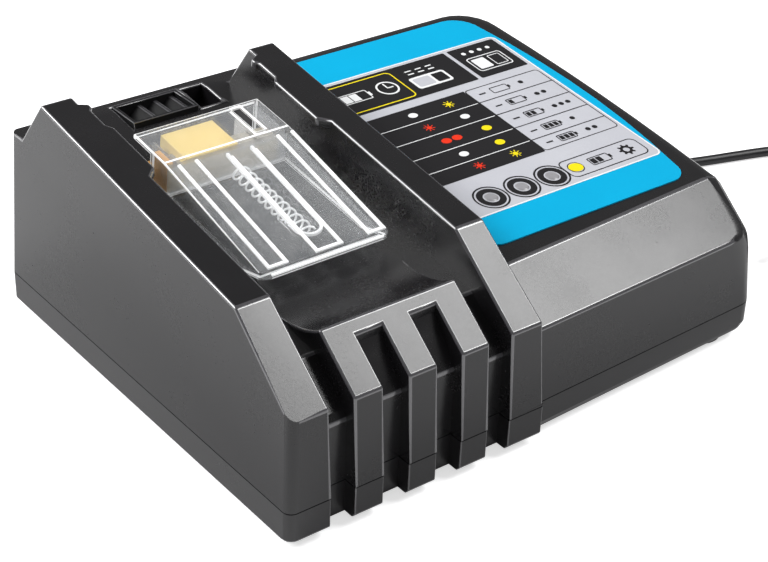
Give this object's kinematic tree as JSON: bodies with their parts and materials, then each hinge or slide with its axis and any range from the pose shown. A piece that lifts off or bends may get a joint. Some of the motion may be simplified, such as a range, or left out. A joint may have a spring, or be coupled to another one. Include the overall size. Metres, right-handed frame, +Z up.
{
  "type": "power tool battery charger",
  "caption": "Compact black rapid charger for slide-on tool batteries, with clear terminal cover, blue label, cooling blower and coiled mains lead",
  "frame": {"origin": "under the middle of the case, on the surface that the feet stand on", "axes": "X along the width of the case, from the battery side to the control side; Y from front to back; Z up"},
  "size_m": [0.3486, 0.2261, 0.0817],
  "materials": {
    "case_black": "satin black moulded plastic",
    "clear_cover": "clear moulded plastic, frosted inside",
    "spring_steel": "drawn spring wire",
    "terminal_yellow": "moulded insulating plastic",
    "plated_metal": "nickel plated",
    "dark_plastic": "moulded plastic",
    "label_blue": "printed film",
    "lens_grey": "translucent plastic",
    "board_green": "lacquered laminate",
    "winding_yellow": "taped winding on ferrite",
    "can_blue": "sleeved can",
    "bare_aluminium": "extruded",
    "copper_winding": "enamelled copper",
    "white_nylon": "moulded nylon",
    "red_insulation": "wire insulation",
    "foot_rubber": "soft rubber",
    "screw_steel": "zinc plated",
    "plate_silver": "bare plate",
    "cord_rubber": "flexible mains lead"
  },
  "bodies": {
    "case": {"upper_case": "case_black", "lower_case": "case_black", "cover_spring": "spring_steel", "terminal_block": "terminal_yellow", "power_blades": "plated_metal", "vent_grille": "case_black", "air_duct": "dark_plastic", "blower_housing": "dark_plastic", "blower_lid": "dark_plastic", "blower_motor": "plated_metal", "label_panel": "label_blue", "led_lenses": "lens_grey", "led_board": "board_green", "main_board": "board_green", "transformer": "winding_yellow", "bulk_capacitors": "can_blue", "output_capacitors": "can_blue", "heat_sink": "bare_aluminium", "power_transistors": "dark_plastic", "mains_choke": "copper_winding", "fuse": "lens_grey", "buzzer": "dark_plastic", "mains_terminal": "white_nylon", "battery_leads": "red_insulation", "rubber_feet": "foot_rubber", "case_screws": "screw_steel", "board_screws": "screw_steel", "rating_plate": "plate_silver", "cord_guard": "cord_rubber", "cord_clamp": "dark_plastic", "clamp_screws": "screw_steel", "mains_lead": "cord_rubber", "cord_run": "cord_rubber", "cord_coil": "cord_rubber", "cord_tail": "cord_rubber", "cord_tie": "dark_plastic", "plug_body": "cord_rubber", "plug_pins": "plated_metal"},
    "cover": {"terminal_cover": "clear_cover"},
    "wheel": {"blower_wheel": "dark_plastic"}
  },
  "joints": [
    {"name": "cover_slide", "type": "slide", "parent": "case", "child": "cover", "axis": [0, -0.9916, -0.1294], "range_m": [0, 0.022], "stiffness_N_per_m": 60, "springref_m": -0.03, "deforming": ["cover_spring"]},
    {"name": "blower_spin", "type": "hinge", "parent": "case", "child": "wheel", "pos_m": [-0.04775, 0.0375, 0.0242], "axis": [0, 0, 1], "continuous": true}
  ]
}
